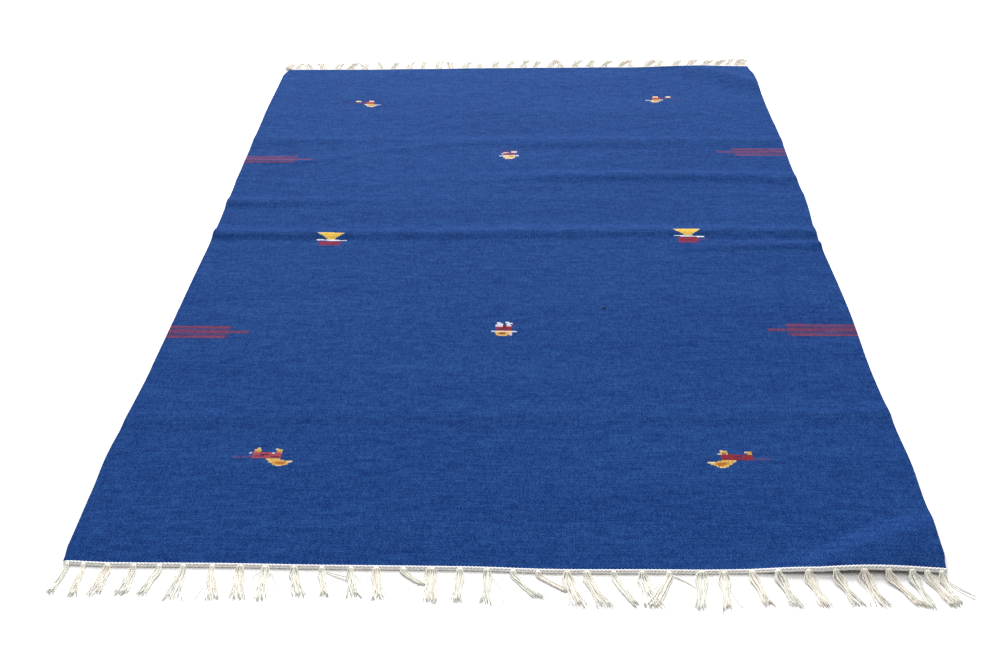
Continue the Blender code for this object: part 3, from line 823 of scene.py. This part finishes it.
def build_tassels(name, end, seed, material):
    """Tassels of one end: yarns in two layers, which thin out at their tips, the hairs there and,
    at the near end, the loose yarns. The yarns of one tassel share their warmth."""
    chance = np.random.default_rng(seed)
    rows = tassel_table(end, chance)
    count = TASSEL_COUNT * YARNS
    each = np.repeat(np.arange(TASSEL_COUNT), YARNS)
    side = np.tile(np.linspace(-1, 1, YARNS), TASSEL_COUNT)
    side = side + chance.normal(0, SIDE_CHANCE, count)
    layer = np.tile(np.arange(YARNS) % 2, TASSEL_COUNT)
    length = rows[each, 2] * chance.uniform(*LENGTH_CHANCES, count)
    paths = yarn_paths(end, rows[each], side, length, layer, chance)
    thin = 1 - (1 - YARN_TIP) * np.linspace(0, 1, paths.shape[1]) ** THIN_POWER
    radii = YARN_RADIUS * thin * chance.uniform(*RADIUS_CHANCES, (count, 1))
    warm = chance.uniform(0.0, 1.0, TASSEL_COUNT)
    tint = np.stack([chance.uniform(*TONE_CHANCES, count), warm[each]], axis=1)
    groups = [(paths, radii, YARN_SIDES, tint)]
    hairs = tip_hairs(paths, chance)
    hair_radii = HAIR_RADIUS * np.linspace(HAIR_ROOT, HAIR_TIP, HAIR_STATIONS)
    hair_radii = np.broadcast_to(hair_radii, hairs.shape[:2])
    groups.append((hairs, hair_radii, HAIR_SIDES, np.repeat(tint, TIP_HAIRS, axis=0)))
    if end < 0:
        strays = loose_paths(end, NEAR_LOOSE, rows[:, 0])
        stray_radii = np.full(strays.shape[:2], LOOSE_RADIUS)
        stray_tint = np.full((len(strays), 2), PLAIN_TINT)
        groups.append((strays, stray_radii, LOOSE_SIDES, stray_tint))
    return tube_piece(name, groups, material)


def node(tree, kind, inputs=(), **settings):
    """Adds a shader node. inputs gives a value or another node's output for each named socket."""
    made = tree.nodes.new(kind)
    for key, value in settings.items():
        setattr(made, key, value)
    for key, value in dict(inputs).items():
        if isinstance(value, bpy.types.NodeSocket):
            tree.links.new(value, made.inputs[key])
        else:
            made.inputs[key].default_value = value
    return made


def calc(tree, operation, *values, clamp=False):
    """Result of a sum, a product or the like of values."""
    inputs = dict(enumerate(values))
    return node(tree, "ShaderNodeMath", inputs, operation=operation, use_clamp=clamp).outputs[0]


def noise(tree, vector, scale, detail, roughness):
    """Cloudy pattern with values about one half."""
    inputs = {"Vector": vector, "Scale": scale, "Detail": detail, "Roughness": roughness}
    return node(tree, "ShaderNodeTexNoise", inputs).outputs["Fac"]


def ranged(tree, value, low, high, to_low, to_high):
    """The value's range from low to high, carried over to another range."""
    inputs = {"Value": value, "From Min": low, "From Max": high, "To Min": to_low,
              "To Max": to_high}
    return node(tree, "ShaderNodeMapRange", inputs).outputs["Result"]


def mapped(tree, vector, scale):
    """The vector times a scale along each axis."""
    return node(tree, "ShaderNodeMapping", {"Vector": vector, "Scale": scale}).outputs[0]


def mix_colour(tree, factor, first, second, blend="MIX"):
    """Colour between the first and the second, or their blend."""
    made = node(tree, "ShaderNodeMix", data_type="RGBA", blend_type=blend)
    for socket, value in (("Factor_Float", factor), ("A_Color", first), ("B_Color", second)):
        target = next(item for item in made.inputs if item.identifier == socket)
        if isinstance(value, bpy.types.NodeSocket):
            tree.links.new(value, target)
        else:
            target.default_value = value
    return next(item for item in made.outputs if item.identifier == "Result_Color")


def arches(tree, value):
    """One arch of a sine wave for each whole step of the value."""
    return calc(tree, "ABSOLUTE", calc(tree, "SINE", calc(tree, "MULTIPLY", value, math.pi)))


def add_relief(tree, shader, height, strength, depth):
    """Bumps the surface by a pattern of heights."""
    inputs = {"Height": height, "Strength": strength, "Distance": depth}
    tree.links.new(node(tree, "ShaderNodeBump", inputs).outputs[0], shader.inputs["Normal"])


def set_levels(shader, rough, shine, sheen=0.0):
    """Sets how rough, shiny and downy the surface is."""
    shader.inputs["Roughness"].default_value = rough
    shader.inputs["Specular IOR Level"].default_value = shine
    shader.inputs["Sheen Weight"].default_value = sheen


def new_material(name):
    """Material with its node tree and its one shader."""
    material = bpy.data.materials.new(name)
    material.use_nodes = True
    tree = material.node_tree
    shader = tree.nodes["Principled BSDF"]
    return material, tree, shader


# Weave of the wool, and colours of the materials
WARP_PITCH = 4.4 * MM
BEAD_PITCH = 2.4 * MM
BLUE_DARK = (0.0019, 0.0178, 0.1150, 1.0)
BLUE_LIGHT = (0.0230, 0.0872, 0.2680, 1.0)
COOL_CAST = (0.96, 0.99, 0.97, 1.0)
WARM_CAST = (1.00, 0.97, 0.93, 1.0)
# Dark patches of the groove: painted shade, partly a trace of the wefts behind the warps
GROOVE_SHADE_AND_WEFT = (0.24, 0.17, 0.20, 1.0)
GROOVE_LIGHT = (0.90, 0.86, 0.85, 1.0)
FLOOR_DARK = (0.95, 0.95, 0.95, 1.0)
FLOOR_LIGHT = (0.97, 0.97, 0.97, 1.0)

# Mottling of the wool: how much closer together the pattern is across and along, the scale,
# detail and roughness of its noise, the part of the noise that counts, and how far it shifts the
# tone. In turn: heather, blotches, flecks, streaks of single wefts, bars and bands of dye.
Mottle = namedtuple("Mottle", "across along scale detail rough low high shift")
MOTTLES = [
    Mottle(1.0, 1.5, 330.0, 2.5, 0.60, 0.38, 0.62, 0.39),
    Mottle(1.0, 1.3, 38.0, 3.0, 0.55, 0.30, 0.70, 0.10),
    Mottle(1.0, 0.7, 120.0, 2.0, 0.60, 0.35, 0.65, 0.13),
    Mottle(1.0, 14.0, 16.0, 2.0, 0.60, 0.30, 0.70, 0.16),
    Mottle(1.0, 4.5, 17.0, 2.0, 0.60, 0.30, 0.70, 0.06),
    Mottle(0.12, 1.0, 11.0, 3.0, 0.60, 0.30, 0.70, 0.08),
]
# Painted shade in the furrows between ribs and beads, and painted light on their crests
FURROW_PAINTED_SHADE, CREST_PAINTED_LIGHT = -0.10, 0.04
MEAN_TONE = 0.38
# How the mottling and the painted shade of the furrows shade a figure's yarn, and how the heather's
# range thins its cover
YARN_SHADES = (0.74, 1.26)
FRAY = (0.2, 0.6, 0.72, 1.0)

# Cottons: the colour's light and dark ends, the length of one twist and the strength of its relief
Cotton = namedtuple("Cotton", "light dark twist strength")
COTTONS = {
    "near_cotton": Cotton((0.95, 0.92, 0.86, 1), (0.82, 0.78, 0.70, 1), 3.4 * MM, 0.5),
    # Twined row: its bluish tint is its own, its lighter dark end partly painted light on its
    # shaded front
    "twined_cotton": Cotton((0.92, 0.93, 0.96, 1), (0.86, 0.86, 0.88, 1), 3.0 * MM, 0.4),
    # Outer cord: its warm tint is its own, its lightness partly painted light against the twined
    # row's shadow
    "corded_cotton": Cotton((0.98, 0.95, 0.92, 1), (0.88, 0.83, 0.81, 1), 3.0 * MM, 0.4),
    # Far tassels: the same cotton darkened, as painted shade against the stronger light at the far
    # end
    "far_cotton_painted_shade": Cotton((0.62, 0.57, 0.49, 1), (0.42, 0.38, 0.33, 1), 3.4 * MM, 0.5),
}


def wool_material():
    """Weft-faced wool: ribs along the warp with a bead for each weft, offset from rib to rib. The
    blue's tone is the mean plus all the mottling, plus painted shade in the furrows between ribs
    and beads and painted light on their crests; the figures' yarns cover it, frayed a little by
    the heather."""
    material, tree, shader = new_material("kilim_wool")
    uv = node(tree, "ShaderNodeUVMap", uv_map="weave").outputs[0]
    weave = mapped(tree, uv, (FIELD_WIDTH, FIELD_LENGTH, 1.0))
    parts = node(tree, "ShaderNodeSeparateXYZ", {"Vector": weave}).outputs
    u, v = parts[0], parts[1]

    rib_count = calc(tree, "DIVIDE", u, WARP_PITCH)
    rib = arches(tree, rib_count)
    odd = calc(tree, "MODULO", calc(tree, "FLOOR", rib_count), 2.0)
    pick = calc(tree, "ADD", calc(tree, "DIVIDE", v, BEAD_PITCH), calc(tree, "MULTIPLY", odd, 0.5))
    bead = arches(tree, pick)

    patterns = []
    tone = MEAN_TONE
    for row in MOTTLES:
        stretched = mapped(tree, weave, (row.across, row.along, 1.0))
        pattern = noise(tree, stretched, row.scale, row.detail, row.rough)
        shift = ranged(tree, pattern, row.low, row.high, -row.shift, row.shift)
        tone = calc(tree, "ADD", tone, shift)
        patterns.append(pattern)
    heather = patterns[0]
    # Painted shade in the furrows between ribs and beads, painted light on their crests
    furrow = ranged(tree, calc(tree, "MULTIPLY", rib, bead), 0.0, 0.7, FURROW_PAINTED_SHADE, CREST_PAINTED_LIGHT)
    tone = calc(tree, "ADD", tone, furrow, clamp=True)
    blue = mix_colour(tree, tone, BLUE_DARK, BLUE_LIGHT)

    yarn = node(tree, "ShaderNodeAttribute", attribute_name="yarn").outputs
    shade = ranged(tree, tone, 0.0, 1.0, *YARN_SHADES)
    dyed = node(tree, "ShaderNodeVectorMath", {0: yarn["Color"], 1: shade},
                operation="MULTIPLY").outputs[0]
    frayed = calc(tree, "MULTIPLY", yarn["Alpha"], ranged(tree, heather, *FRAY), clamp=True)
    tree.links.new(mix_colour(tree, frayed, blue, dyed), shader.inputs["Base Color"])

    fibres = noise(tree, weave, 1500.0, 2.0, 0.7)
    relief = calc(tree, "ADD", calc(tree, "MULTIPLY", rib, calc(tree, "ADD", bead, 0.9)),
                  calc(tree, "MULTIPLY", fibres, 0.7))
    relief = calc(tree, "ADD", relief, calc(tree, "MULTIPLY", heather, 1.2))
    add_relief(tree, shader, relief, 0.45, 0.30 * MM)
    set_levels(shader, 0.92, 0.035, 0.018)
    return material


def cotton_material(name):
    """Twisted cotton: slanted plies round each yarn, from its UV, with painted shade in the grooves
    between them, a tone for each yarn and a warmth for each tassel."""
    cotton = COTTONS[name]
    material, tree, shader = new_material(name)
    uv = node(tree, "ShaderNodeUVMap", uv_map="weave").outputs[0]
    parts = node(tree, "ShaderNodeSeparateXYZ", {"Vector": uv}).outputs
    turns = calc(tree, "ADD", calc(tree, "MULTIPLY", parts[0], 2.0),
                 calc(tree, "DIVIDE", parts[1], cotton.twist))
    ply = arches(tree, turns)
    spot = node(tree, "ShaderNodeTexCoord").outputs["Object"]
    fuzz = noise(tree, spot, 1100.0, 2.0, 0.6)
    stain = noise(tree, spot, 45.0, 2.0, 0.5)
    tone = node(tree, "ShaderNodeAttribute", attribute_name="tone").outputs["Fac"]
    # Tone of each yarn, painted shade in the grooves between the plies, and stains
    mixed = calc(tree, "ADD", calc(tree, "MULTIPLY", tone, 0.45),
                 calc(tree, "ADD", calc(tree, "MULTIPLY", ply, 0.35),
                      ranged(tree, stain, 0.3, 0.7, -0.10, 0.35)), clamp=True)
    tint = mix_colour(tree, mixed, cotton.dark, cotton.light)
    warm = node(tree, "ShaderNodeAttribute", attribute_name="warm").outputs["Fac"]
    cast = mix_colour(tree, warm, COOL_CAST, WARM_CAST)
    tree.links.new(mix_colour(tree, 1.0, tint, cast, "MULTIPLY"), shader.inputs["Base Color"])
    relief = calc(tree, "ADD", ply, calc(tree, "MULTIPLY", fuzz, 0.5))
    add_relief(tree, shader, relief, cotton.strength, 0.35 * MM)
    set_levels(shader, 0.88, 0.25, 0.15)
    return material


def base_material():
    """Bare warps in the groove between the twined row and the outer cord, in patches: the dark ones
    are painted shade of the groove, with a trace of the blue and red wefts behind them."""
    material, tree, shader = new_material("warp_groove_shade_and_weft")
    spot = node(tree, "ShaderNodeTexCoord").outputs["Object"]
    patch = noise(tree, mapped(tree, spot, (1.0, 2.0, 1.0)), 55.0, 3.0, 0.65)
    grain = noise(tree, spot, 900.0, 2.0, 0.6)
    share = ranged(tree, patch, 0.35, 0.65, 0.0, 1.0)
    tint = mix_colour(tree, share, GROOVE_SHADE_AND_WEFT, GROOVE_LIGHT)
    tree.links.new(tint, shader.inputs["Base Color"])
    add_relief(tree, shader, grain, 0.4, 0.3 * MM)
    set_levels(shader, 0.95, 0.5)
    return material


def floor_material():
    """Matt, nearly white floor."""
    material, tree, shader = new_material("pale_floor")
    spot = node(tree, "ShaderNodeTexCoord").outputs["Object"]
    drift = noise(tree, spot, 0.8, 2.0, 0.5)
    tint = mix_colour(tree, drift, FLOOR_DARK, FLOOR_LIGHT)
    tree.links.new(tint, shader.inputs["Base Color"])
    set_levels(shader, 0.85, 0.2)
    return material


def build_floor():
    """One wide square, which belongs to the stage."""
    half = FLOOR_WIDTH / 2
    corners = [(-half, -half, 0.0), (half, -half, 0.0), (half, half, 0.0), (-half, half, 0.0)]
    floor = new_mesh_piece("floor", corners, [(0, 1, 2, 3)], floor_material())


def build_camera():
    """Camera at the photograph's place: yaw from +Y, pitch down, roll round its own axis."""
    ahead = Vector((math.sin(CAMERA_YAW) * math.cos(CAMERA_PITCH),
                    math.cos(CAMERA_YAW) * math.cos(CAMERA_PITCH), -math.sin(CAMERA_PITCH)))
    right = Vector((math.cos(CAMERA_YAW), -math.sin(CAMERA_YAW), 0.0))
    up = right.cross(ahead)
    tilt_right = right * math.cos(CAMERA_ROLL) + up * math.sin(CAMERA_ROLL)
    tilt_up = up * math.cos(CAMERA_ROLL) - right * math.sin(CAMERA_ROLL)
    turned = Matrix((tilt_right, tilt_up, -ahead)).transposed().to_4x4()
    data = bpy.data.cameras.new("camera")
    data.sensor_width = SENSOR_MM
    data.lens = FOCAL_PIXELS / IMAGE_WIDTH * SENSOR_MM
    camera = bpy.data.objects.new("camera", data)
    camera.matrix_world = Matrix.Translation(CAMERA_PLACE) @ turned
    bpy.context.scene.collection.objects.link(camera)
    bpy.context.scene.camera = camera


def add_area_light(name, place, target, size, power):
    """Rectangular soft light that faces its target."""
    data = bpy.data.lights.new(name, "AREA")
    data.shape = "RECTANGLE"
    data.size, data.size_y = size
    data.energy = power
    light = bpy.data.objects.new(name, data)
    light.location = place
    light.rotation_euler = (Vector(target) - Vector(place)).to_track_quat("-Z", "Y").to_euler()
    bpy.context.scene.collection.objects.link(light)


def build_light():
    """Weak even surroundings, a soft light beyond the far end and a broad one overhead."""
    world = bpy.data.worlds.new("studio")
    world.use_nodes = True
    shader = world.node_tree.nodes["Background"]
    shader.inputs["Color"].default_value = (1.0, 1.0, 1.0, 1.0)
    shader.inputs["Strength"].default_value = WORLD_LIGHT
    bpy.context.scene.world = world
    add_area_light("window", *WINDOW)
    add_area_light("overhead", *OVERHEAD)
    bpy.context.scene.view_settings.view_transform = "Standard"


def main():
    """The stage, then the field with its side edges, then each end's band and tassels."""
    build_camera()
    build_light()
    build_floor()
    wool = wool_material()
    bright = cotton_material("near_cotton")
    twined = cotton_material("twined_cotton")
    corded = cotton_material("corded_cotton")
    groove = base_material()

    field = build_field(wool)
    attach(field, "root")
    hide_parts("kilim_cloth")
    for name, u in (("selvedge_left", -1.0), ("selvedge_right", 1.0)):
        rib = build_selvedge(name, u, wool)
        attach(rib, "root")

    # Cotton of the far tassels, darkened as painted shade
    painted_shade_cotton = cotton_material("far_cotton_painted_shade")
    for word, end, seed, yarn in (("near", -1, NEAR_SEED, bright), ("far", 1, FAR_SEED, painted_shade_cotton)):
        twine = tube_piece("twined_row_" + word, [twisted(end, TWINE)], twined)
        cord = tube_piece("outer_cord_" + word, [twisted(end, CORD)], corded)
        base = build_band_base("warp_band_" + word, end, groove)
        tassels = build_tassels("tassels_" + word, end, seed, yarn)
        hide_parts("fringe_" + word)
        for piece in (twine, cord, base, tassels):
            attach(piece, "root")


main()
